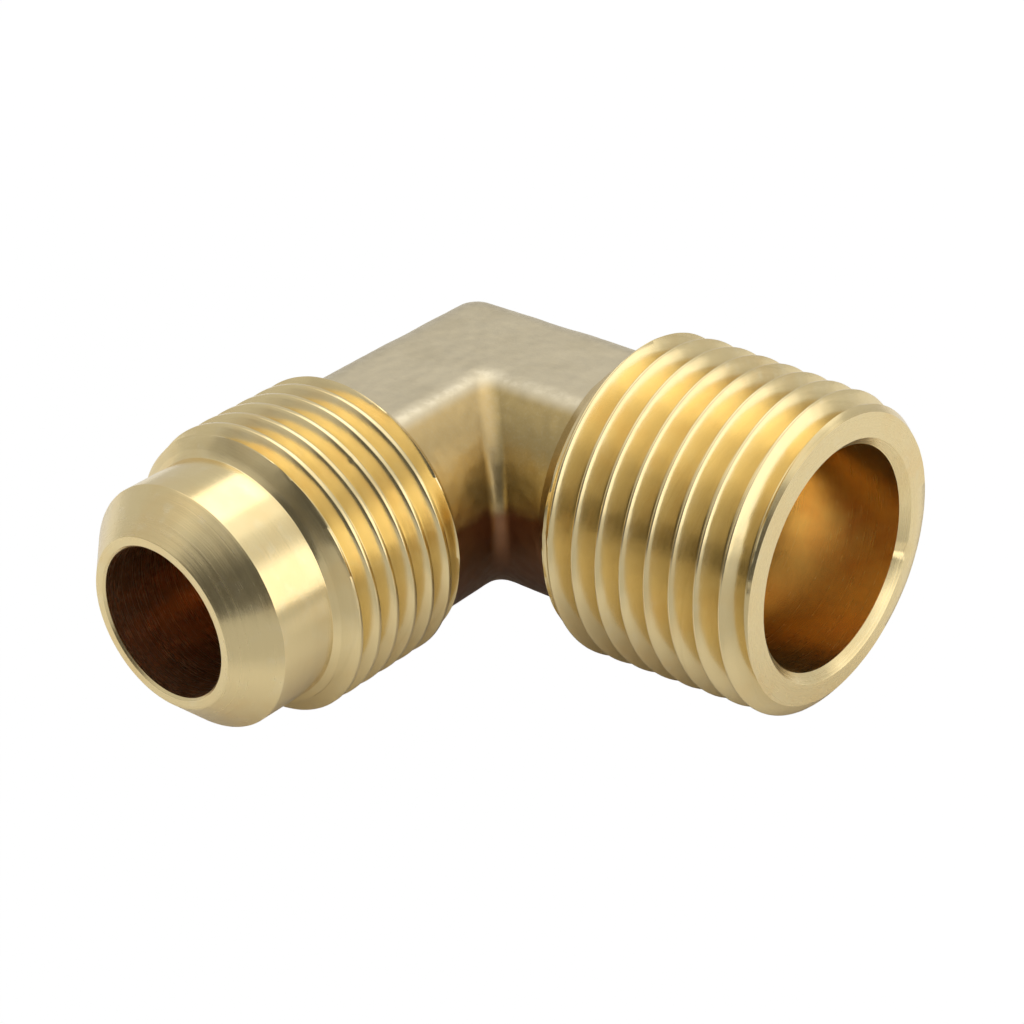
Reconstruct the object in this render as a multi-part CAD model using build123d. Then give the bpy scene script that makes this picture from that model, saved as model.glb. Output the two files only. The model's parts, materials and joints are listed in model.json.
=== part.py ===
from build123d import *
import math
import os

# A forged brass 90 degree elbow, machined on both arms: a 1/2 inch SAE 45 degree male
# flare on one arm and a 1/2-14 NPT male pipe thread on the other. It is one piece of metal.
#
# Frame, in millimetres: the two bore axes cross at the origin. The pipe arm points along +X,
# the flare arm along -Y, and the forging's two flats face +Z and -Z.

# Forged corner: a round bar section with a flat above and below, mitred where the axes cross.
BODY_RADIUS = 8.45
FLAT_HEIGHT = 7.55
FLAT_EDGE_ROUND = 0.3
CORNER_ROUND = 1.5

# Flare arm, as distances from the origin along its axis.
FLARE_TIP = 29.62
FLARE_BORE_RADIUS = 5.0
FLARE_BORE_EDGE = 0.15
RIM_RADIUS = 5.7
NOSE_RADIUS = 8.08
NOSE_BACK = 23.15
FLARE_LEAD_LENGTH = 0.8
FLARE_THREAD_RADIUS = 19.05 / 2
FLARE_PITCH = 25.4 / 16
FLARE_THREAD_BACK = 13.35
FLARE_THREAD_ANGLE = 329.0

# Pipe arm, as distances from the origin along its axis.
PIPE_END = 28.55
PIPE_BORE_RADIUS = 7.3
PIPE_BORE_EDGE = 0.55
PIPE_BORE_DEPTH = 13.0
PIPE_THREAD_RADIUS = 10.25
PIPE_PITCH = 25.4 / 14
PIPE_TAPER = 1 / 32
PIPE_FACE_RADIUS = 9.45
PIPE_LEAD_LENGTH = 1.1
PIPE_THREAD_BACK = 14.0
PIPE_THREAD_ANGLE = 289.0

# Both threads are 60 degrees, right-handed, with narrow flats at crest and root.
FLANK_SLOPE = math.tan(math.radians(30))
FLARE_THREAD_DEPTH = 0.6134 * FLARE_PITCH
FLARE_ROOT_FLAT = FLARE_PITCH / 8
PIPE_THREAD_DEPTH = 0.76 * PIPE_PITCH
PIPE_ROOT_FLAT = 0.06 * PIPE_PITCH

# Behind its thread each arm steps down to the body at 45 degrees. The passage is drilled
# from both ends to 118 degree points just past the place where the two drills meet.
BACK_BEVEL_SLOPE = 1.0
DRILL_POINT_SLOPE = 1 / math.tan(math.radians(59))
DRILL_PAST_CENTRE = 1.5

# How far solids run into each other where they are joined, and a cutter outside its blank.
OVERLAP = 1.0
CUTTER_CLEARANCE = 0.6

# An arm stands on +Z while it is made. These lay it along -Y and along +X.
TO_FLARE = Rot(X=90)
TO_PIPE = Rot(Y=90) * Rot(Z=90)


def turned(outline):
    """A solid of revolution about +Z from its (radius, height) outline."""
    edge = Polyline(*[(radius, 0, height) for radius, height in outline], close=True)
    return revolve(make_face(edge), axis=Axis.Z)


def pipe_crest_radius(distance):
    """Radius of the tapered thread's crests at a distance from the origin."""
    return PIPE_THREAD_RADIUS + (PIPE_END - distance) * PIPE_TAPER


def thread_groove(pitch, depth, root_flat, crest_radius, taper, start, end, angle):
    """The helical cutter of a 60 degree groove about +Z, from height start to height end."""
    root_radius = crest_radius - depth
    cut_height = depth + CUTTER_CLEARANCE
    half_root = root_flat / 2
    half_top = half_root + cut_height * FLANK_SLOPE
    cone = -math.degrees(math.atan(taper))
    path = Helix(pitch, end - start, root_radius, center=(0, 0, start), cone_angle=cone)
    section = Plane(origin=path @ 0, x_dir=(1, 0, 0), z_dir=path % 0)
    corners = [(0, -half_root), (cut_height, -half_top), (cut_height, half_top), (0, half_root)]
    groove = sweep(section * make_face(Polyline(*corners, close=True)), path=path, is_frenet=True)
    return Rot(Z=angle) * groove


def back_bevel(thread_radius, thread_back):
    """The last points of an arm's outline: from the thread's back end down into the body."""
    buried_radius = BODY_RADIUS - OVERLAP
    foot = thread_back - (thread_radius - buried_radius) / BACK_BEVEL_SLOPE
    return [(thread_radius, thread_back), (buried_radius, foot), (0, foot)]


def flare_arm():
    """Rim, 45 degree seat, plain nose and UNF thread, standing on +Z."""
    seat_length = NOSE_RADIUS - RIM_RADIUS
    outline = [
        (0, FLARE_TIP),
        (RIM_RADIUS, FLARE_TIP),
        (NOSE_RADIUS, FLARE_TIP - seat_length),
        (NOSE_RADIUS, NOSE_BACK),
        (FLARE_THREAD_RADIUS, NOSE_BACK - FLARE_LEAD_LENGTH),
    ]
    blank = turned(outline + back_bevel(FLARE_THREAD_RADIUS, FLARE_THREAD_BACK))
    groove = thread_groove(
        pitch=FLARE_PITCH,
        depth=FLARE_THREAD_DEPTH,
        root_flat=FLARE_ROOT_FLAT,
        crest_radius=FLARE_THREAD_RADIUS,
        taper=0,
        start=FLARE_THREAD_BACK - FLARE_PITCH,
        end=NOSE_BACK,
        angle=FLARE_THREAD_ANGLE,
    )
    return blank - groove


def pipe_arm():
    """The chamfered end and the tapered NPT thread, standing on +Z."""
    lead_back = PIPE_END - PIPE_LEAD_LENGTH
    outline = [
        (0, PIPE_END),
        (PIPE_FACE_RADIUS, PIPE_END),
        (pipe_crest_radius(lead_back), lead_back),
    ]
    blank = turned(outline + back_bevel(pipe_crest_radius(PIPE_THREAD_BACK), PIPE_THREAD_BACK))
    groove_start = PIPE_THREAD_BACK - PIPE_PITCH
    groove = thread_groove(
        pitch=PIPE_PITCH,
        depth=PIPE_THREAD_DEPTH,
        root_flat=PIPE_ROOT_FLAT,
        crest_radius=pipe_crest_radius(groove_start),
        taper=PIPE_TAPER,
        start=groove_start,
        end=PIPE_END + PIPE_PITCH,
        angle=PIPE_THREAD_ANGLE,
    )
    return blank - groove


def forged_leg(length):
    """One leg of the corner, long enough both ways along Z, with flats facing +Y and -Y."""
    section = Circle(BODY_RADIUS) & Rectangle(2 * BODY_RADIUS, 2 * FLAT_HEIGHT)
    return extrude(section, length, both=True)


def forged_corner():
    """The two legs mitred together, with the outer corner and the flats' edges rounded."""
    mitre = Plane(origin=(0, 0, 0), z_dir=(1, 1, 0))
    flare_leg = split(TO_FLARE * forged_leg(FLARE_THREAD_BACK), bisect_by=mitre, keep=Keep.BOTTOM)
    pipe_leg = split(TO_PIPE * forged_leg(PIPE_THREAD_BACK), bisect_by=mitre, keep=Keep.TOP)
    corner = flare_leg + pipe_leg
    outer_edge = corner.edges().filter_by(GeomType.ELLIPSE).sort_by(Axis.X)[0]
    corner = fillet(outer_edge, CORNER_ROUND)
    flat_edges = [
        edge
        for face in corner.faces().filter_by(Plane.XY)
        for edge in face.edges()
        if edge.geom_type == GeomType.LINE and is_long_edge(edge)
    ]
    return fillet(flat_edges, FLAT_EDGE_ROUND)


def is_long_edge(edge):
    """True for an edge along a leg, and False for one across its end."""
    middle = edge @ 0.5
    across_flare = abs(middle.Y + FLARE_THREAD_BACK) < 0.01
    across_pipe = abs(middle.X - PIPE_THREAD_BACK) < 0.01
    return not (across_flare or across_pipe)


def drill(outline_start):
    """One drill along +Z: its mouth, then the passage through to the drill point."""
    point = DRILL_PAST_CENTRE + FLARE_BORE_RADIUS * DRILL_POINT_SLOPE
    return turned(outline_start + [(FLARE_BORE_RADIUS, -DRILL_PAST_CENTRE), (0, -point)])


def drilling():
    """Everything drilled out: the passage from both ends and the wider bore of the pipe arm."""
    flare_drill = drill([
        (0, FLARE_TIP),
        (FLARE_BORE_RADIUS + FLARE_BORE_EDGE, FLARE_TIP),
        (FLARE_BORE_RADIUS, FLARE_TIP - FLARE_BORE_EDGE),
    ])
    floor = PIPE_END - PIPE_BORE_DEPTH
    step = (PIPE_BORE_RADIUS - FLARE_BORE_RADIUS) * DRILL_POINT_SLOPE
    pipe_drill = drill([
        (0, PIPE_END),
        (PIPE_BORE_RADIUS + PIPE_BORE_EDGE, PIPE_END),
        (PIPE_BORE_RADIUS, PIPE_END - PIPE_BORE_EDGE),
        (PIPE_BORE_RADIUS, floor),
        (FLARE_BORE_RADIUS, floor - step),
    ])
    return TO_FLARE * flare_drill + TO_PIPE * pipe_drill


elbow_body = forged_corner() + TO_FLARE * flare_arm() + TO_PIPE * pipe_arm() - drilling()

os.makedirs("parts", exist_ok=True)
export_step(elbow_body, "parts/elbow_body.step")
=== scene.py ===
import json
import math

import bmesh
import bpy
import numpy as np
from mathutils import Matrix, Vector, noise


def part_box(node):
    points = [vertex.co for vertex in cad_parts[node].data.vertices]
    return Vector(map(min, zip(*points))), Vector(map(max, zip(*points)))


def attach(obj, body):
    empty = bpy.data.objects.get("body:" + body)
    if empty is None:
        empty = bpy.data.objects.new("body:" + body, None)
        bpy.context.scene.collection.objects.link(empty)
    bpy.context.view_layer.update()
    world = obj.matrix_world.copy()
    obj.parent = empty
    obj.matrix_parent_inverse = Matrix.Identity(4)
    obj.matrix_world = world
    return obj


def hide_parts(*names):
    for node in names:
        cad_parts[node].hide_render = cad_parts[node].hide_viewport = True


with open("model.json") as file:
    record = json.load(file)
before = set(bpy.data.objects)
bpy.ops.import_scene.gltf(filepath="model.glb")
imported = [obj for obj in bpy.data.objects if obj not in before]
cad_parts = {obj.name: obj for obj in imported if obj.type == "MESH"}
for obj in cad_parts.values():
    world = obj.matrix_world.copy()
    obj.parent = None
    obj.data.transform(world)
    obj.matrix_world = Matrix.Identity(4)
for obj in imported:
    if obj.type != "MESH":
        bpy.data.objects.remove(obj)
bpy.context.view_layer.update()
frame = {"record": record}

# Lengths are in millimetres until MM scales them. The frame is the CAD frame: the bore axes
# cross at the origin, the pipe arm points along +X, the flare arm along -Y, the flats face Z.
MM = 0.001
CAD_LOW, CAD_HIGH = (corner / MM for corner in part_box("elbow_body"))
MOUNTS = {mount["name"]: mount for mount in frame["record"]["mounts"]}

# Forged corner.
FLAT_HEIGHT = MOUNTS["upper_flat"]["pos_m"][2] / MM
BODY_RADIUS = 8.45
FLAT_EDGE_SOFTNESS = 0.35
# The flats' edges are rubbed bright: partly real wear, partly a painted highlight.
FLAT_EDGE_WEAR_AND_HIGHLIGHT_WIDTH = 0.45
# A painted highlight along the inner mitre, a concave crease that nothing rubs.
MITRE_PAINTED_HIGHLIGHT = 0.12
FORGED_FADE_ROWS = 4
OUTER_CORNER_ROUND = 1.5
INNER_CORNER_ROUND = 1.0

# Flare arm, as distances from the origin along its axis.
FLARE_TIP = -CAD_LOW.y
FLARE_BORE_EDGE = 0.15
RIM_RADIUS = 5.7
NOSE_RADIUS = MOUNTS["flare_nose"]["dims"]["r_mm"]
NOSE_BACK = 23.15
FLARE_LEAD_LENGTH = 0.8
FLARE_THREAD_BACK = 13.35
FLARE_BEVEL_REACH = 0.9

# Pipe arm, as distances from the origin along its axis.
PIPE_END = CAD_HIGH.x
PIPE_BORE_RADIUS = MOUNTS["pipe_bore"]["dims"]["r_mm"]
PIPE_BORE_EDGE = 0.55
PIPE_BORE_DEPTH = 13.0
PIPE_FACE_RADIUS = 9.45
PIPE_LEAD_LENGTH = 1.1
PIPE_THREAD_BACK = 14.0
PIPE_BEVEL_REACH = 1.3

# The passage through the corner, drilled from both ends to points just past the crossing.
PASSAGE_RADIUS = MOUNTS["flare_bore"]["dims"]["r_mm"]
DRILL_POINT_SLOPE = 1 / math.tan(math.radians(59))
DRILL_PAST_CENTRE = 1.5

# Mesh density, and the rounding of machined edges.
COLUMNS = 512
EDGE_ROUND = 0.07
EDGE_STEPS = 4
THREAD_SOFTNESS = 0.07
THREAD_ROWS = 7
LEG_ROWS = 32
CORNER_ROWS = 8
DRILL_ROWS = 6
SHARP_EDGE_ANGLE = math.radians(38)

THETA = np.arange(COLUMNS) * 2 * math.pi / COLUMNS
COS = np.cos(THETA)
SIN = np.sin(THETA)


# ---------------------------------------------------------------- skin


class Skin:
    """One closed skin, woven from rings of COLUMNS points that follow each other."""

    def __init__(self):
        self.points = []
        self.faces = []
        self.finishes = []
        self.forged = {}
        self.wear_and_highlight = {}

    def add(self, points):
        """Adds points and returns their numbers."""
        first = len(self.points)
        self.points.extend(points)
        return np.arange(first, first + len(points))

    def face(self, corners, finish):
        """Adds a face, leaving out corners that coincide."""
        kept = list(dict.fromkeys(int(corner) for corner in corners))
        if len(kept) > 2:
            self.faces.append(kept)
            self.finishes.append(finish)

    def weave(self, rings, finish):
        """Faces between rings that follow each other."""
        for ring_a, ring_b in zip(rings, rings[1:]):
            for i in range(COLUMNS):
                j = (i + 1) % COLUMNS
                self.face((ring_a[i], ring_b[i], ring_b[j], ring_a[j]), finish)


def flare_place(along, across, height):
    """A point of the flare arm. Across is positive towards the inside of the elbow."""
    return (across, -along, height)


def pipe_place(along, across, height):
    """A point of the pipe arm. Across is positive towards the inside of the elbow."""
    return (along, -across, height)


def ring_points(place, along, across, height):
    """A ring's points, from values that are single or one for each column."""
    values = [np.broadcast_to(value, COLUMNS) for value in (along, across, height)]
    return [place(*point) for point in zip(*values)]


def round_ring(skin, place, along, radius):
    """A ring at one radius, or one for each column."""
    return skin.add(ring_points(place, along, radius * COS, radius * SIN))


def soft_min(a, b, softness):
    """The lesser of a and b, blended over a distance where they are nearly equal."""
    mix = np.clip(0.5 + 0.5 * (b - a) / softness, 0, 1)
    return b + (a - b) * mix - softness * mix * (1 - mix)


def soft_max(a, b, softness):
    """The greater of a and b, blended in the same way."""
    return -soft_min(-a, -b, softness)


def rounded(outline):
    """An open (along, radius) outline with each inner corner turned into a small arc."""
    points = [Vector(point) for point in outline]
    result = [points[0]]
    for before, corner, after in zip(points, points[1:], points[2:]):
        back, on = before - corner, after - corner
        half = back.angle(on) / 2
        reach = min(EDGE_ROUND / math.tan(half), 0.45 * back.length, 0.45 * on.length)
        radius = reach * math.tan(half)
        middle = corner + (back.normalized() + on.normalized()).normalized() * radius / math.sin(half)
        first = corner + back.normalized() * reach - middle
        last = corner + on.normalized() * reach - middle
        for k in range(EDGE_STEPS + 1):
            spoke = first.lerp(last, k / EDGE_STEPS).normalized()
            result.append(middle + spoke * radius)
    return result + [points[-1]]


def turned(skin, place, outline, finish, start):
    """Weaves a turned stretch on from the ring start, and returns its last ring."""
    rings = [start] + [round_ring(skin, place, along, radius) for along, radius in outline[1:]]
    skin.weave(rings, finish)
    return rings[-1]


# ---------------------------------------------------------------- threads


class Thread:
    """A right-hand 60 degree thread on a blank with a chamfer in front and a bevel behind."""

    FLANK_SLOPE = math.tan(math.radians(30))
    RUN_OUT = 0.85
    RUN_OUT_FADE = 0.8

    def __init__(self, pitch, depth, root_flat, crest, front, front_radius, lead, back, angle, turning):
        self.pitch = pitch
        self.depth = depth
        self.root_flat = root_flat
        self.crest = crest
        self.front = front
        self.front_radius = front_radius
        self.lead_slope = (crest(front - lead) - front_radius) / lead
        self.back = back
        self.angle = math.radians(angle)
        self.turning = turning

    def groove(self, theta):
        """Where the middle of a groove lies along the axis. turning is 1 or -1 with theta."""
        start = self.back - self.pitch
        local = theta if self.turning > 0 else math.pi - theta
        return start + self.pitch * (local - self.angle) / (2 * math.pi)

    def blank(self, along):
        """The blank's radius before the thread was cut."""
        chamfer = self.front_radius + (self.front - along) * self.lead_slope
        bevel = self.crest(self.back) - (self.back - along)
        return soft_min(soft_min(self.crest(along), chamfer, THREAD_SOFTNESS), bevel, THREAD_SOFTNESS)

    def radius(self, along):
        """The finished radius, where the last index of along is the column. The groove fades out
        over the bevel behind the thread."""
        offset = (along - self.groove(THETA)) / self.pitch
        offset = np.abs((offset + 0.5) % 1 - 0.5) * self.pitch
        half_top = self.root_flat / 2 + self.depth * self.FLANK_SLOPE
        cut = soft_min((half_top - offset) / self.FLANK_SLOPE, self.depth, THREAD_SOFTNESS)
        run_out = np.clip((along - self.back + self.RUN_OUT) / self.RUN_OUT_FADE, 0, 1)
        cut = soft_max(cut, 0.0, THREAD_SOFTNESS) * run_out
        return soft_min(self.blank(along), self.crest(along) - cut, THREAD_SOFTNESS)

    def offsets(self):
        """Row offsets over one pitch from the middle of a groove, close together at its edges."""
        half_root = self.root_flat / 2
        half_top = half_root + self.depth * self.FLANK_SLOPE
        edge = 0.6 * THREAD_SOFTNESS
        flank = list(np.linspace(half_root + edge, half_top - edge, THREAD_ROWS))
        side = [half_root] + flank + [half_top, half_top + 0.5 * edge]
        return [-offset for offset in side[::-1]] + [0] + side + [self.pitch / 2]

    def weave(self, skin, place, start, first, last, finish):
        """Weaves rows along the helix from the ring start at first, and returns the last ring."""
        offsets = self.offsets()
        middle = self.groove(THETA)
        low, high = sorted((first, last))
        lowest = math.floor((low - middle.max()) / self.pitch) - 1
        highest = math.ceil((high - middle.min()) / self.pitch) + 2
        turns = range(lowest, highest)
        along = np.array([middle + turn * self.pitch + offset for turn in turns for offset in offsets])
        radius = self.radius(along)
        end = round_ring(skin, place, last, self.radius(np.full(COLUMNS, last)))
        at_low, at_high = (start, end) if first < last else (end, start)
        margin = 0.3 * THREAD_SOFTNESS
        numbers = np.where(along <= low + margin, at_low, np.where(along >= high - margin, at_high, -1))
        rows, columns = np.nonzero(numbers < 0)
        across = (radius * COS)[rows, columns]
        height = (radius * SIN)[rows, columns]
        numbers[rows, columns] = skin.add([place(*p) for p in zip(along[rows, columns], across, height)])
        shift = self.turning * len(offsets)
        last_row = len(along) - 1
        for i in range(COLUMNS):
            j = (i + 1) % COLUMNS
            here = numbers[:, i]
            jump = 0 if j else shift
            for k in range(-len(offsets), last_row + len(offsets)):
                a, b = (min(max(row, 0), last_row) for row in (k, k + 1))
                c, d = (min(max(row + jump, 0), last_row) for row in (k + 1, k))
                skin.face((here[a], here[b], numbers[c, j], numbers[d, j]), finish)
        return end


FLARE_PITCH = 25.4 / 16
FLARE_THREAD = Thread(
    pitch=FLARE_PITCH,
    depth=0.6134 * FLARE_PITCH,
    root_flat=FLARE_PITCH / 8,
    crest=lambda along: MOUNTS["flare_thread"]["dims"]["r_mm"] + 0 * along,
    front=NOSE_BACK,
    front_radius=NOSE_RADIUS,
    lead=FLARE_LEAD_LENGTH,
    back=FLARE_THREAD_BACK,
    angle=329.0,
    turning=1,
)

PIPE_PITCH = 25.4 / 14
PIPE_TAPER = 1 / 32
PIPE_THREAD = Thread(
    pitch=PIPE_PITCH,
    depth=0.76 * PIPE_PITCH,
    root_flat=0.06 * PIPE_PITCH,
    crest=lambda along: MOUNTS["pipe_thread"]["dims"]["r_mm"] + (PIPE_END - along) * PIPE_TAPER,
    front=PIPE_END,
    front_radius=PIPE_FACE_RADIUS,
    lead=PIPE_LEAD_LENGTH,
    back=PIPE_THREAD_BACK,
    angle=289.0,
    turning=-1,
)


# ---------------------------------------------------------------- forged corner and passage


def body_radius():
    """The forging's radius for each column: a round bar cut by two flats, with soft edges."""
    flat = FLAT_HEIGHT / np.maximum(np.abs(SIN), 0.1)
    return soft_min(BODY_RADIUS, flat, FLAT_EDGE_SOFTNESS)


def leg(skin, place, start, back, back_radius):
    """The bevel behind a thread and the forged leg, from the ring start to the mitre's ring."""
    radius = body_radius()
    foot = back - (back_radius - radius)
    across, height = radius * COS, radius * SIN
    outside = (1 - COS) / 2
    rounding = INNER_CORNER_ROUND + (OUTER_CORNER_ROUND - INNER_CORNER_ROUND) * outside ** 2
    bend = across + rounding
    rings = [start]
    for k in range(LEG_ROWS + 1):
        share = k / LEG_ROWS
        rings.append(skin.add(ring_points(place, foot + (bend - foot) * share, across, height)))
    for k in range(1, CORNER_ROWS + 1):
        turn = math.radians(45) * k / CORNER_ROWS
        along = bend - rounding * math.sin(turn)
        side = across + rounding * (1 - math.cos(turn))
        rings.append(skin.add(ring_points(place, along, side, height)))
    # Brightening along the flats' edges: partly real wear, partly a painted highlight.
    flat_edge = math.sqrt(BODY_RADIUS ** 2 - FLAT_HEIGHT ** 2)
    from_edge = (np.abs(across) - flat_edge) / FLAT_EDGE_WEAR_AND_HIGHLIGHT_WIDTH
    wear_and_highlight = np.exp(-(from_edge ** 2)) * (np.abs(SIN) > 0.7)
    for k, ring in enumerate(rings[2:], 1):
        # Painted highlight along the inner mitre.
        mitre = max(0.0, (k - LEG_ROWS) / CORNER_ROWS) * np.clip(2 * COS, 0, 1)
        for number, edge_wear_and_highlight in zip(ring, np.maximum(wear_and_highlight, MITRE_PAINTED_HIGHLIGHT * mitre)):
            skin.forged[int(number)] = min(1, k / FORGED_FADE_ROWS)
            skin.wear_and_highlight[int(number)] = float(edge_wear_and_highlight)
    return rings


def passage(skin, place, start, finish):
    """The drilled passage from the ring start to the mitre, with its share of the drill points."""
    steep = 1 / DRILL_POINT_SLOPE
    point = np.abs(COS) * (PASSAGE_RADIUS + DRILL_PAST_CENTRE * steep) / (1 + steep * np.abs(COS))
    past = (COS < 0) & (point > DRILL_PAST_CENTRE)
    wall_end = np.where(past, -DRILL_PAST_CENTRE, PASSAGE_RADIUS * COS)
    wall = round_ring(skin, place, wall_end, np.full(COLUMNS, PASSAGE_RADIUS))
    rings = [start, wall]
    for k in range(1, DRILL_ROWS + 1):
        along = wall_end - np.where(past, (point - DRILL_PAST_CENTRE) * k / DRILL_ROWS, 0)
        radius = PASSAGE_RADIUS - (wall_end - along) * steep
        rings.append(np.where(past, round_ring(skin, place, along, radius), wall))
    skin.weave(rings, finish)
    return rings[-1]


# ---------------------------------------------------------------- the elbow

FINISHES = [
    "forged", "flare_seat", "flare_turned", "flare_threaded",
    "pipe_turned", "pipe_threaded", "bored", "drilled",
]


def flare_side(skin):
    """The flare arm: rim, seat, nose, thread, bevel and leg, then its bore."""
    mouth = FLARE_TIP - FLARE_BORE_EDGE
    thread_front = NOSE_BACK - 0.3 * FLARE_LEAD_LENGTH
    thread_foot = FLARE_THREAD_BACK - FLARE_BEVEL_REACH
    outline = rounded([
        (mouth, PASSAGE_RADIUS),
        (FLARE_TIP, PASSAGE_RADIUS + FLARE_BORE_EDGE),
        (FLARE_TIP, RIM_RADIUS),
        (FLARE_TIP - (NOSE_RADIUS - RIM_RADIUS), NOSE_RADIUS),
        (NOSE_BACK, NOSE_RADIUS),
        (thread_front, NOSE_RADIUS + (NOSE_BACK - thread_front) * FLARE_THREAD.lead_slope),
    ])
    # The seat ends halfway round the third rounded corner.
    corner = 1 + 2 * (EDGE_STEPS + 1) + EDGE_STEPS // 2 + 1
    edge = round_ring(skin, flare_place, *outline[0])
    front = turned(skin, flare_place, outline[:corner], FINISHES.index("flare_seat"), edge)
    front = turned(skin, flare_place, outline[corner - 1:], FINISHES.index("flare_turned"), front)
    threaded = FINISHES.index("flare_threaded")
    back = FLARE_THREAD.weave(skin, flare_place, front, thread_front, thread_foot, threaded)
    crest = FLARE_THREAD.crest(FLARE_THREAD_BACK)
    rings = leg(skin, flare_place, back, FLARE_THREAD_BACK, crest)
    skin.weave(rings[:2], threaded)
    skin.weave(rings[1:], FINISHES.index("forged"))
    passage(skin, flare_place, edge, FINISHES.index("drilled"))


def pipe_side(skin):
    """The pipe arm: chamfered mouth, face, thread, bevel and leg, then its bore and passage."""
    mouth = PIPE_END - PIPE_BORE_EDGE
    thread_foot = PIPE_THREAD_BACK - PIPE_BEVEL_REACH
    outline = rounded([
        (mouth, PIPE_BORE_RADIUS),
        (PIPE_END, PIPE_BORE_RADIUS + PIPE_BORE_EDGE),
        (PIPE_END, PIPE_BORE_RADIUS + 2 * PIPE_BORE_EDGE),
    ])
    edge = round_ring(skin, pipe_place, *outline[0])
    face = turned(skin, pipe_place, outline, FINISHES.index("pipe_turned"), edge)
    rim = round_ring(skin, pipe_place, PIPE_END, PIPE_THREAD.radius(np.full(COLUMNS, PIPE_END)))
    skin.weave([face, rim], FINISHES.index("pipe_turned"))
    threaded = FINISHES.index("pipe_threaded")
    back = PIPE_THREAD.weave(skin, pipe_place, rim, PIPE_END, thread_foot, threaded)
    crest = PIPE_THREAD.crest(PIPE_THREAD_BACK)
    rings = leg(skin, pipe_place, back, PIPE_THREAD_BACK, crest)
    skin.weave(rings[:2], threaded)
    skin.weave(rings[1:], FINISHES.index("forged"))
    floor = PIPE_END - PIPE_BORE_DEPTH
    step = (PIPE_BORE_RADIUS - PASSAGE_RADIUS) * DRILL_POINT_SLOPE
    bore = rounded([(mouth, PIPE_BORE_RADIUS), (floor, PIPE_BORE_RADIUS), (floor - step, PASSAGE_RADIUS),
                    (floor - 2 * step, PASSAGE_RADIUS)])
    bottom = turned(skin, pipe_place, bore, FINISHES.index("bored"), edge)
    passage(skin, pipe_place, bottom, FINISHES.index("drilled"))


def make_elbow(materials):
    """The whole fitting as one closed mesh."""
    skin = Skin()
    flare_side(skin)
    pipe_side(skin)
    mesh = bpy.data.meshes.new("elbow")
    mesh.from_pydata([Vector(point) * MM for point in skin.points], [], skin.faces)
    for finish in FINISHES:
        mesh.materials.append(materials[finish])
    mesh.polygons.foreach_set("material_index", skin.finishes)
    weights = mesh.attributes.new("forged", "FLOAT", "POINT")
    weights.data.foreach_set("value", [skin.forged.get(i, 0.0) for i in range(len(skin.points))])
    edge_wear_and_highlight = mesh.attributes.new("wear_and_highlight", "FLOAT", "POINT")
    edge_wear_and_highlight.data.foreach_set("value", [skin.wear_and_highlight.get(i, 0.0) for i in range(len(skin.points))])
    form = bmesh.new()
    form.from_mesh(mesh)
    bmesh.ops.remove_doubles(form, verts=form.verts, dist=1e-4 * MM)
    bmesh.ops.delete(form, geom=[v for v in form.verts if not v.link_faces], context="VERTS")
    bmesh.ops.recalc_face_normals(form, faces=form.faces)
    roughen(form)
    for face in form.faces:
        face.smooth = True
    open_edges = sum(1 for edge in form.edges if len(edge.link_faces) != 2)
    print("elbow:", len(form.verts), "points,", open_edges, "open edges")
    form.to_mesh(mesh)
    form.free()
    mesh.set_sharp_from_angle(angle=SHARP_EDGE_ANGLE)
    elbow = bpy.data.objects.new("elbow", mesh)
    bpy.context.scene.collection.objects.link(elbow)
    return elbow


# Unevenness of the skin: heights in mm, and scales in waves per mm.
FORGED_WAVE, FORGED_WAVE_SCALE = 0.05, 0.35
FORGED_RIPPLE, FORGED_RIPPLE_SCALE, FORGED_RIPPLE_SHIFT = 0.018, 1.3, Vector((9, 2, 5))
MACHINED_WAVE, MACHINED_WAVE_SCALE = 0.007, 1.1

# Small damage from handling: where it is, how far it reaches and how far it stands out, in mm.
DINGS = [
    ((28.15, -8.75, 4.36), 0.60, -0.05),
    ((28.15, -9.42, 2.62), 0.60, -0.05),
    ((28.45, 7.36, -2.75), 0.60, -0.20),
    ((5.52, -17.90, 7.73), 0.30, -0.03),
    ((13.90, -10.35, 1.60), 0.60, 0.16),
]


def roughen(form):
    """Makes the forged skin slightly wavy and the machined skin less so, then adds the dings."""
    layer = form.verts.layers.float["forged"]
    form.normal_update()
    for vert in form.verts:
        weight = vert[layer]
        if weight > 0:
            place = vert.co / MM
            wave = FORGED_WAVE * noise.noise(place * FORGED_WAVE_SCALE)
            wave += FORGED_RIPPLE * noise.noise(place * FORGED_RIPPLE_SCALE + FORGED_RIPPLE_SHIFT)
            vert.co += vert.normal * wave * weight * MM
        else:
            wave = MACHINED_WAVE * noise.noise(vert.co / MM * MACHINED_WAVE_SCALE)
            vert.co += vert.normal * wave * MM
    for middle, reach, height in DINGS:
        for vert in form.verts:
            gap = (vert.co / MM - Vector(middle)).length / reach
            if gap < 1:
                vert.co += vert.normal * height * (1 - gap * gap) ** 2 * MM


# ---------------------------------------------------------------- materials

MACHINED_BRASS = (0.89, 0.72, 0.385)
WARM_BRASS = (0.88, 0.675, 0.335)
PALE_BRASS = (0.90, 0.755, 0.45)
MARK_BRASS = (0.45, 0.33, 0.14)
# Painted shade in the thread roots.
ROOT_SHADE_BRASS = (0.66, 0.51, 0.24)
FORGED_BRASS = (0.66, 0.575, 0.40)
FORGED_DARK = (0.54, 0.46, 0.30)
# Rubbed edges: partly real wear, partly a painted highlight.
FORGED_WEAR_AND_HIGHLIGHT = (0.78, 0.69, 0.50)
FORGED_SIDE = (0.55, 0.40, 0.18)
# Painted shade for the pipe side of the inner corner.
FORGED_PIPE_SIDE_SHADE = (0.36, 0.27, 0.11)
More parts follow.
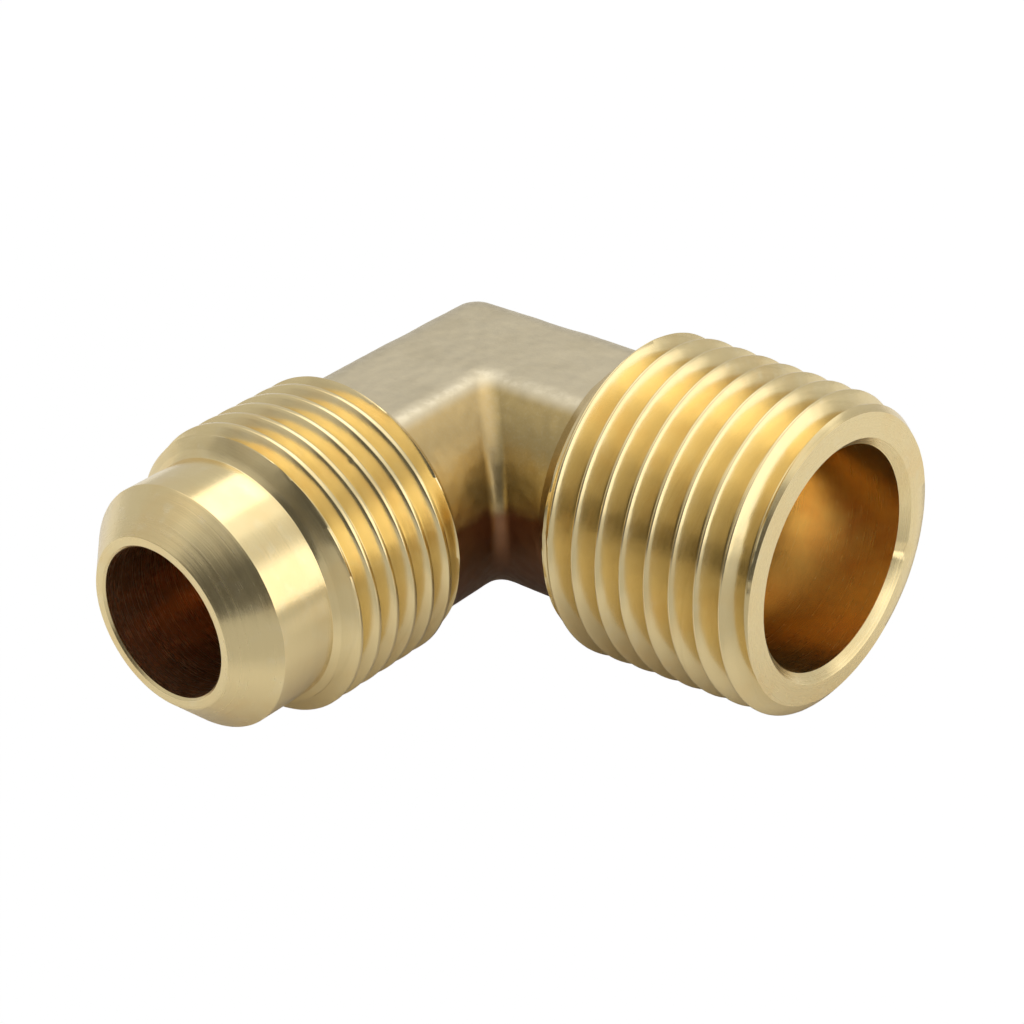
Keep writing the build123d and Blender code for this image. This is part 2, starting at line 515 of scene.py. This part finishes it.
# Painted shade for the lower half of the inner corner.
FORGED_LOWER_SHADE = (0.21, 0.085, 0.045)
# The bores are coloured warmer and redder than the outside brass: a painted reflection of light reddened
# inside the holes.
BORE_REFLECTED_TINT = (0.90, 0.66, 0.30)
BORE_REFLECTED_TINT_DARK = (0.82, 0.50, 0.20)
DRILLED_REFLECTED_TINT = (0.96, 0.66, 0.42)
DRILLED_REFLECTED_TINT_DARK = (0.90, 0.56, 0.33)


def node(tree, kind, inputs=None, **settings):
    """A shader node with its settings and its inputs, which are values or other nodes' outputs."""
    made = tree.nodes.new("ShaderNode" + kind)
    for name, value in settings.items():
        setattr(made, name, value)
    for name, value in (inputs or {}).items():
        if isinstance(value, bpy.types.NodeSocket):
            tree.links.new(value, made.inputs[name])
        else:
            made.inputs[name].default_value = value
    return made


def calc(tree, operation, *values):
    """A Math node's output. Each value is a number or another node's output."""
    return node(tree, "Math", dict(enumerate(values)), operation=operation).outputs[0]


def remap(tree, value, low, high, to_low=0.0, to_high=1.0, smooth=True):
    """A value's range from low to high stretched over another range."""
    kind = "SMOOTHSTEP" if smooth else "LINEAR"
    inputs = {"Value": value, "From Min": low, "From Max": high, "To Min": to_low, "To Max": to_high}
    return node(tree, "MapRange", inputs, interpolation_type=kind).outputs["Result"]


def mix_colour(tree, factor, a, b):
    """A blend from colour a to colour b. Each is a triple or another node's output."""
    made = node(tree, "Mix", data_type="RGBA")
    for socket, value in ((made.inputs["Factor"], factor), (made.inputs[6], a), (made.inputs[7], b)):
        if isinstance(value, bpy.types.NodeSocket):
            tree.links.new(value, socket)
        elif isinstance(value, tuple):
            socket.default_value = (*value, 1)
        else:
            socket.default_value = value
    return made.outputs[2]


def noise_value(tree, where, scale, detail=3.0, roughness=0.5, dimensions="3D"):
    """Fractal noise around 0.5. Where is a vector, or one coordinate for 1D noise."""
    inputs = {"W" if dimensions == "1D" else "Vector": where, "Scale": scale, "Detail": detail}
    inputs["Roughness"] = roughness
    return node(tree, "TexNoise", inputs, noise_dimensions=dimensions).outputs["Fac"]


def new_material(name):
    """A new metallic material, with its tree, its shader and its object coordinates in mm."""
    material = bpy.data.materials.new(name)
    material.use_nodes = True
    tree = material.node_tree
    shader = tree.nodes["Principled BSDF"]
    shader.inputs["Metallic"].default_value = 1.0
    place = node(tree, "TexCoord").outputs["Object"]
    scaled = node(tree, "VectorMath", {0: place, "Scale": 1 / MM}, operation="SCALE").outputs[0]
    return material, tree, shader, scaled


def bump(tree, height, distance, after=None):
    """A bump of so many millimetres, on top of an earlier one."""
    inputs = {"Height": height, "Distance": distance * MM, "Strength": 1.0}
    if after is not None:
        inputs["Normal"] = after
    return node(tree, "Bump", inputs).outputs["Normal"]


def along_and_radius(tree, place, axis):
    """Distance along an arm's axis and out from it, in millimetres."""
    parts = node(tree, "SeparateXYZ", {"Vector": place}).outputs
    along = parts["X"] if axis == "X" else calc(tree, "MULTIPLY", parts["Y"], -1.0)
    side = parts["Y"] if axis == "X" else parts["X"]
    squares = calc(tree, "ADD", calc(tree, "POWER", side, 2.0), calc(tree, "POWER", parts["Z"], 2.0))
    return along, calc(tree, "SQRT", squares)


MACHINED = (MACHINED_BRASS, WARM_BRASS, PALE_BRASS)
# The bores' tones carry that painted reflection.
BORE_PAINTED_REFLECTION_TONES = (BORE_REFLECTED_TINT, BORE_REFLECTED_TINT_DARK, BORE_REFLECTED_TINT)
DRILLED_PAINTED_REFLECTION_TONES = (DRILLED_REFLECTED_TINT, DRILLED_REFLECTED_TINT_DARK, DRILLED_REFLECTED_TINT)


def turned_brass(name, axis, roughness, marks, colours=MACHINED, thread=None, root_shade=0.0):
    """Brass off a lathe: rings of fine tool marks round the arm's axis, with faint stains. A
    thread is painted darker towards its root: painted shade."""
    material, tree, shader, place = new_material(name)
    along, radius = along_and_radius(tree, place, axis)
    feed = calc(tree, "ADD", along, calc(tree, "MULTIPLY", radius, 0.37))
    wander = calc(tree, "MULTIPLY", noise_value(tree, place, 0.35, 1.0), 0.05)
    feed = calc(tree, "ADD", feed, wander)
    fine = noise_value(tree, feed, 9.0, 4.0, 0.7, "1D")
    broad = noise_value(tree, feed, 2.2, 2.0, 0.5, "1D")
    cloud = noise_value(tree, place, 0.22, 3.0, 0.6)
    mottle = noise_value(tree, place, 0.9, 3.0, 0.55)
    stain = remap(tree, cloud, 0.45, 0.72)
    colour = mix_colour(tree, stain, colours[0], colours[1])
    colour = mix_colour(tree, remap(tree, mottle, 0.52, 0.8, 0.0, 0.7), colour, colours[2])
    colour = mix_colour(tree, remap(tree, fine, 0.25, 0.42, 0.12, 0.0), colour, MARK_BRASS)
    if thread:
        slope = thread.crest(0.0) - thread.crest(1.0)
        crest = calc(tree, "SUBTRACT", thread.crest(0.0), calc(tree, "MULTIPLY", along, slope))
        depth = calc(tree, "SUBTRACT", crest, radius)
        # Painted shade: darker towards the thread's root.
        root = remap(tree, depth, 0.15 * thread.depth, 0.85 * thread.depth, 0.0, root_shade)
        colour = mix_colour(tree, root, colour, ROOT_SHADE_BRASS)
    shine = calc(tree, "MULTIPLY", calc(tree, "SUBTRACT", fine, 0.5), 0.16)
    haze = calc(tree, "MULTIPLY", calc(tree, "SUBTRACT", mottle, 0.5), 0.10)
    rough = calc(tree, "ADD", calc(tree, "ADD", shine, haze), roughness)
    normal = bump(tree, fine, 0.004 * marks)
    normal = bump(tree, broad, 0.006 * marks, normal)
    grit = noise_value(tree, place, 6.0, 2.0, 0.6)
    normal = bump(tree, grit, 0.0012, normal)
    for socket, value in (("Base Color", colour), ("Roughness", rough), ("Normal", normal)):
        tree.links.new(value, shader.inputs[socket])
    return material


def forged_brass():
    """Brass as forged and tumbled: matte, finely grained, rubbed bright along its edges, partly real wear
    and partly a painted highlight.
    The side faces are coloured darker and warmer than the flats, with painted shade on the pipe side and
    on the lower half of the inner corner.
    """
    material, tree, shader, place = new_material("forged_brass")
    grain = noise_value(tree, place, 5.0, 4.0, 0.65)
    pits = noise_value(tree, place, 1.7, 3.0, 0.6)
    cloud = noise_value(tree, place, 0.28, 4.0, 0.6)
    # Brighter, glossier edges: partly real wear, partly a painted highlight, broken up by the pits noise.
    wear_and_highlight = node(tree, "Attribute", attribute_name="wear_and_highlight").outputs["Fac"]
    wear_and_highlight = calc(tree, "MULTIPLY", wear_and_highlight, remap(tree, pits, 0.38, 0.62, 0.05, 0.6))
    parts = node(tree, "SeparateXYZ", {"Vector": place}).outputs
    height = calc(tree, "ABSOLUTE", parts["Z"])
    side = remap(tree, height, FLAT_HEIGHT - 0.1, FLAT_HEIGHT - 0.7)
    # Painted shade on the lower half of the inner corner's faces, with a ragged top edge.
    inside = calc(tree, "MINIMUM", parts["X"], calc(tree, "MULTIPLY", parts["Y"], -1.0))
    ragged = calc(tree, "ADD", parts["Z"], calc(tree, "MULTIPLY", calc(tree, "SUBTRACT", cloud, 0.5), 2.0))
    scale = calc(tree, "MULTIPLY", remap(tree, inside, 0.5, 4.0), remap(tree, ragged, 1.7, 0.7))
    colour = mix_colour(tree, remap(tree, cloud, 0.40, 0.75, 0.0, 0.45), FORGED_BRASS, FORGED_DARK)
    # The side faces are darker and warmer than the flats; the pipe side of the corner gets painted shade
    # on top.
    across = calc(tree, "ADD", parts["X"], parts["Y"])
    side_tone_and_shade = mix_colour(tree, remap(tree, across, -0.3, 0.9, 0.0, 0.7), FORGED_SIDE, FORGED_PIPE_SIDE_SHADE)
    colour = mix_colour(tree, side, colour, side_tone_and_shade)
    colour = mix_colour(tree, remap(tree, grain, 0.36, 0.5, 0.14, 0.0), colour, FORGED_DARK)
    colour = mix_colour(tree, wear_and_highlight, colour, FORGED_WEAR_AND_HIGHLIGHT)
    # Painted shade laid over the lower half of the inner corner.
    colour = mix_colour(tree, calc(tree, "MULTIPLY", scale, 0.88), colour, FORGED_LOWER_SHADE)
    rough = remap(tree, pits, 0.3, 0.7, 0.40, 0.48)
    rough = calc(tree, "SUBTRACT", rough, calc(tree, "MULTIPLY", wear_and_highlight, 0.14))
    rough = calc(tree, "SUBTRACT", rough, calc(tree, "MULTIPLY", side, 0.08))
    normal = bump(tree, grain, 0.005)
    normal = bump(tree, pits, 0.005, normal)
    for socket, value in (("Base Color", colour), ("Roughness", rough), ("Normal", normal)):
        tree.links.new(value, shader.inputs[socket])
    return material


MATERIALS = {
    "forged": forged_brass(),
    "flare_seat": turned_brass("turned_brass_seat", "Y", 0.24, 2.2),
    "flare_turned": turned_brass("turned_brass_flare", "Y", 0.18, 0.7),
    "flare_threaded": turned_brass("threaded_brass_flare", "Y", 0.22, 0.7, thread=FLARE_THREAD, root_shade=0.2),
    "pipe_turned": turned_brass("turned_brass_pipe", "X", 0.28, 0.8),
    "pipe_threaded": turned_brass("threaded_brass_pipe", "X", 0.22, 0.7, thread=PIPE_THREAD, root_shade=0.4),
    "bored": turned_brass("bored_brass", "X", 0.24, 0.12, BORE_PAINTED_REFLECTION_TONES),
    "drilled": turned_brass("drilled_brass", "Y", 0.26, 0.12, DRILLED_PAINTED_REFLECTION_TONES),
}

elbow = make_elbow(MATERIALS)
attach(elbow, "root")
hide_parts("elbow_body")


# ---------------------------------------------------------------- studio

# Azimuths are 0 towards -Y, 90 towards +X. Each panel: its centre azimuth and elevation, half
# its width and height, the width of its soft edge, all in degrees, and its brightness.
SKY_LOW, SKY_HIGH = 0.58, 1.12
PANELS = [
    ("right_back", 122, 42, 26, 9, 8, 0.74),
    ("back_top", -170, 56, 44, 18, 6, 1.16),
    ("left", -112, 22, 26, 26, 10, 0.60),
    ("left_high", -84, 62, 34, 12, 12, 1.2),
    ("front_high", 8, 44, 30, 14, 12, 0.58),
    ("right_high_flag", 60, 44, 20, 12, 12, 0.35),
    ("right", 104, 13, 38, 19, 8, 1.5),
    ("left_flag", -32, 4, 18, 11, 12, 0.16),
    ("camera_flag", 25, 16, 40, 22, 14, 0.10),
]


def make_world():
    """The studio around the fitting: a soft grey room with bright panels and dark flags."""
    world = bpy.data.worlds.new("studio")
    world.use_nodes = True
    tree = world.node_tree
    way = node(tree, "SeparateXYZ", {"Vector": node(tree, "TexCoord").outputs["Generated"]}).outputs
    azimuth = calc(tree, "ARCTAN2", way["X"], calc(tree, "MULTIPLY", way["Y"], -1.0))
    azimuth = calc(tree, "DEGREES", azimuth)
    elevation = calc(tree, "DEGREES", calc(tree, "ARCSINE", way["Z"]))
    light = remap(tree, elevation, 35.0, 62.0, SKY_LOW, SKY_HIGH)
    for _, centre, height, half_width, half_height, soft, brightness in PANELS:
        turn = calc(tree, "WRAP", calc(tree, "SUBTRACT", azimuth, float(centre)), 180.0, -180.0)
        across = calc(tree, "ABSOLUTE", turn)
        up = calc(tree, "ABSOLUTE", calc(tree, "SUBTRACT", elevation, float(height)))
        inside = calc(
            tree, "MULTIPLY",
            remap(tree, across, half_width + soft / 2, half_width - soft / 2),
            remap(tree, up, half_height + soft / 2, half_height - soft / 2),
        )
        change = calc(tree, "SUBTRACT", brightness, light)
        light = calc(tree, "ADD", light, calc(tree, "MULTIPLY", change, inside))
    background = tree.nodes["Background"]
    background.inputs["Color"].default_value = (1, 1, 1, 1)
    tree.links.new(light, background.inputs["Strength"])
    bpy.context.scene.world = world


# The floor, in metres. The mirrored one is greyer in front, where x - y passes MIRRORED_CHANGE.
FLOOR_REACH, BACKDROP_BEND, BACKDROP_TOP, FLOOR_STEPS = 0.5, 0.25, 1.2, 96
MIRRORED_DROP = 0.0001
MIRRORED_CHANGE = (0.042, 0.058)
MIRRORED_BACK, MIRRORED_FRONT = (0.92, 0.92, 0.92), (0.62, 0.62, 0.62)


def make_floor():
    """The pale floor, which curves up into a backdrop, and the duller one that the metal mirrors."""
    height = CAD_LOW.z * MM
    profile = [(0.0, height), (FLOOR_REACH, height)]
    for t in np.linspace(0.1, math.pi / 2, 12):
        out = FLOOR_REACH + BACKDROP_BEND * math.sin(t)
        profile.append((out, height + BACKDROP_BEND * (1 - math.cos(t))))
    profile += [(FLOOR_REACH + BACKDROP_BEND, BACKDROP_TOP)]
    for name, outline in (("floor", profile), ("floor_mirrored", profile[:2])):
        steps = FLOOR_STEPS
        turns = [2 * math.pi * k / steps for k in range(steps)]
        points = [(r * math.cos(t), r * math.sin(t), z) for r, z in outline[1:] for t in turns]
        faces = [tuple(range(steps))]
        for row in range(len(outline) - 2):
            for k in range(steps):
                n = (k + 1) % steps
                near, far = row * steps, (row + 1) * steps
                faces.append((near + k, near + n, far + n, far + k))
        mesh = bpy.data.meshes.new(name)
        mesh.from_pydata(points, [], faces)
        material = bpy.data.materials.new(name + "_paper")
        material.use_nodes = True
        tree = material.node_tree
        shader = tree.nodes["Principled BSDF"]
        shader.inputs["Roughness"].default_value = 0.9
        shader.inputs["Specular IOR Level"].default_value = 0.0
        floor = bpy.data.objects.new(name, mesh)
        if name == "floor":
            shader.inputs["Base Color"].default_value = (0.32, 0.32, 0.32, 1)
            shader.inputs["Emission Color"].default_value = (1, 1, 1, 1)
            shader.inputs["Emission Strength"].default_value = 1.0
            floor.visible_diffuse = floor.visible_glossy = floor.visible_shadow = False
            for polygon in mesh.polygons:
                polygon.use_smooth = True
        else:
            parts = node(tree, "SeparateXYZ", {"Vector": node(tree, "TexCoord").outputs["Object"]}).outputs
            forward = calc(tree, "SUBTRACT", parts["X"], parts["Y"])
            change = remap(tree, forward, *MIRRORED_CHANGE)
            shade = mix_colour(tree, change, MIRRORED_BACK, MIRRORED_FRONT)
            tree.links.new(shade, shader.inputs["Base Color"])
            floor.visible_camera = False
            floor.location.z = -MIRRORED_DROP
        mesh.materials.append(material)
        bpy.context.scene.collection.objects.link(floor)


def area_light(name, place, target, size, power):
    """A softbox at a place in millimetres, turned to a target."""
    data = bpy.data.lights.new(name, "AREA")
    data.shape = "RECTANGLE"
    data.size, data.size_y = size[0] * MM, size[1] * MM
    data.energy = power
    light = bpy.data.objects.new(name, data)
    bpy.context.scene.collection.objects.link(light)
    place, target = Vector(place) * MM, Vector(target) * MM
    light.location = place
    light.rotation_euler = (place - target).to_track_quat("Z", "Y").to_euler()
    return light


def make_camera():
    """The camera at the photographed angle: its back direction, roll, distance and pan."""
    azimuth, elevation, roll = math.radians(42.18), math.radians(29.31), math.radians(-3.23)
    distance, pan_right, pan_up = 179.1, 1.75, -5.15
    flat = math.cos(elevation)
    back = Vector((math.sin(azimuth) * flat, -math.cos(azimuth) * flat, math.sin(elevation)))
    level = Vector((math.cos(azimuth), math.sin(azimuth), 0))
    upright = back.cross(level)
    right = level * math.cos(roll) + upright * math.sin(roll)
    up = upright * math.cos(roll) - level * math.sin(roll)
    data = bpy.data.cameras.new("camera")
    data.sensor_width = 36
    data.lens = 94.07
    data.clip_start = 0.005
    camera = bpy.data.objects.new("camera", data)
    bpy.context.scene.collection.objects.link(camera)
    place = (back * distance + right * pan_right + up * pan_up) * MM
    turn = Matrix((right, up, back)).transposed().to_4x4()
    camera.matrix_world = Matrix.Translation(place) @ turn
    bpy.context.scene.camera = camera


make_floor()
make_camera()
make_world()
area_light("key", (-60, 120, 260), (0, 0, 0), (150, 150), 0.05)
bpy.context.scene.view_settings.view_transform = "Standard"
